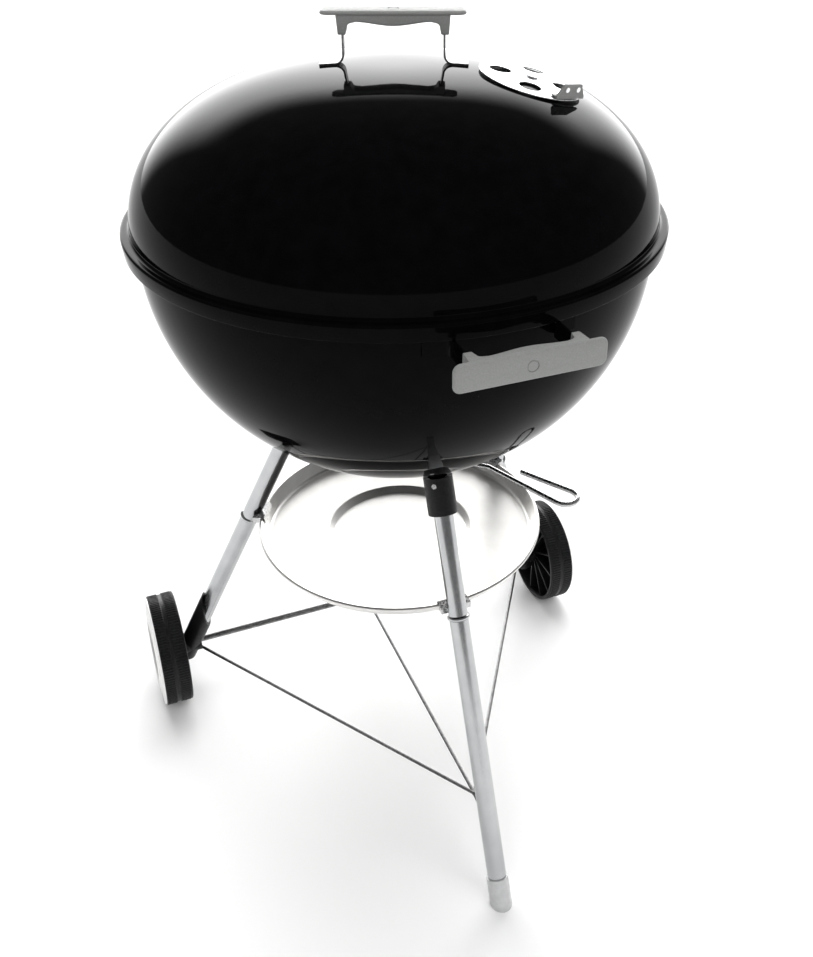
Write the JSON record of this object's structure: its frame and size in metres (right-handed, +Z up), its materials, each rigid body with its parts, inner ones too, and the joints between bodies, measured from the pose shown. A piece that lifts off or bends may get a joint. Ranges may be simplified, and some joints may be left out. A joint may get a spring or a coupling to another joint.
{
  "type": "kettle charcoal grill",
  "caption": "Round kettle charcoal grill with a domed lift-off lid, turning lid damper, side grips, wire grates, lever-swept bottom vents, ash dish and a braced tube stand on wheels",
  "frame": {"origin": "On the floor, in the middle of the bounding box, under the kettle's axis", "axes": "+Z up. X along the wheel axle, +X to the right wheel. -Y towards the front leg, +Y towards the wheels"},
  "size_m": [0.631, 0.672, 0.9646],
  "materials": {
    "enamel": "glossy black porcelain enamel",
    "grip_nylon": "grey glass-filled nylon, fine grain",
    "aluminium": "plain drawn or pressed, satin",
    "plated_steel": "bright nickel or zinc plate",
    "dark_steel": "dull dark plated wire and rod",
    "black_plastic": "moulded, satin",
    "white_plastic": "moulded, smooth"
  },
  "bodies": {
    "stand": {"bowl_shell": "enamel", "front_handle_grip": "grip_nylon", "rear_handle_grip": "grip_nylon", "front_handle_straps": "enamel", "rear_handle_straps": "enamel", "front_handle_screws": "plated_steel", "rear_handle_screws": "plated_steel", "grate_supports": "enamel", "front_leg_socket": "enamel", "left_leg_socket": "enamel", "right_leg_socket": "enamel", "front_leg_tube": "aluminium", "left_leg_tube": "aluminium", "right_leg_tube": "aluminium", "front_leg_collar": "black_plastic", "collar_rivet": "plated_steel", "front_foot_cap": "white_plastic", "left_leg_insert": "black_plastic", "right_leg_insert": "black_plastic", "leg_brace": "dark_steel", "axle": "dark_steel", "left_hub_cap": "plated_steel", "right_hub_cap": "plated_steel", "ash_catcher": "aluminium", "ash_catcher_clips": "plated_steel", "vent_bush": "plated_steel"},
    "lid": {"lid_shell": "enamel", "lid_handle_grip": "grip_nylon", "lid_handle_straps": "dark_steel", "lid_handle_screws": "plated_steel", "lid_hook": "enamel", "damper_pivot_rivet": "aluminium"},
    "lid_damper": {"damper_disc": "aluminium", "damper_tab": "grip_nylon", "damper_tab_rivets": "aluminium"},
    "sweeper": {"sweeper_shaft": "plated_steel", "sweeper_hub": "plated_steel", "sweeper_blade_1": "plated_steel", "sweeper_blade_2": "plated_steel", "sweeper_blade_3": "plated_steel", "lever_hub": "aluminium", "lever_rod": "plated_steel", "lever_nut": "plated_steel"},
    "wheel_left": {"left_wheel": "black_plastic", "left_wheel_trim": "white_plastic"},
    "wheel_right": {"right_wheel": "black_plastic", "right_wheel_trim": "white_plastic"},
    "cooking_grate_body": {"cooking_grate": "plated_steel"},
    "charcoal_grate_body": {"charcoal_grate": "dark_steel"}
  },
  "joints": [
    {"name": "lid_lift", "type": "slide", "parent": "stand", "child": "lid", "axis": [0, 0, 1], "range_m": [0, 0.3]},
    {"name": "damper_turn", "type": "hinge", "parent": "lid", "child": "lid_damper", "pos_m": [0.12245, -0.06787, 0.89803], "axis": [0.2139, -0.1185, 0.9696], "range_deg": [-45, 45]},
    {"name": "sweeper_turn", "type": "hinge", "parent": "stand", "child": "sweeper", "pos_m": [0, 0, 0.44], "axis": [0, 0, 1], "range_deg": [-25, 45]},
    {"name": "wheel_left_spin", "type": "hinge", "parent": "stand", "child": "wheel_left", "pos_m": [-0.294, 0.175, 0.0765], "axis": [1, 0, 0], "continuous": true},
    {"name": "wheel_right_spin", "type": "hinge", "parent": "stand", "child": "wheel_right", "pos_m": [0.294, 0.175, 0.0765], "axis": [1, 0, 0], "continuous": true},
    {"name": "cooking_grate_lift", "type": "slide", "parent": "stand", "child": "cooking_grate_body", "axis": [0, 0, 1], "range_m": [0, 0.04]},
    {"name": "charcoal_grate_lift", "type": "slide", "parent": "stand", "child": "charcoal_grate_body", "axis": [0, 0, 1], "range_m": [0, 0.1]}
  ]
}
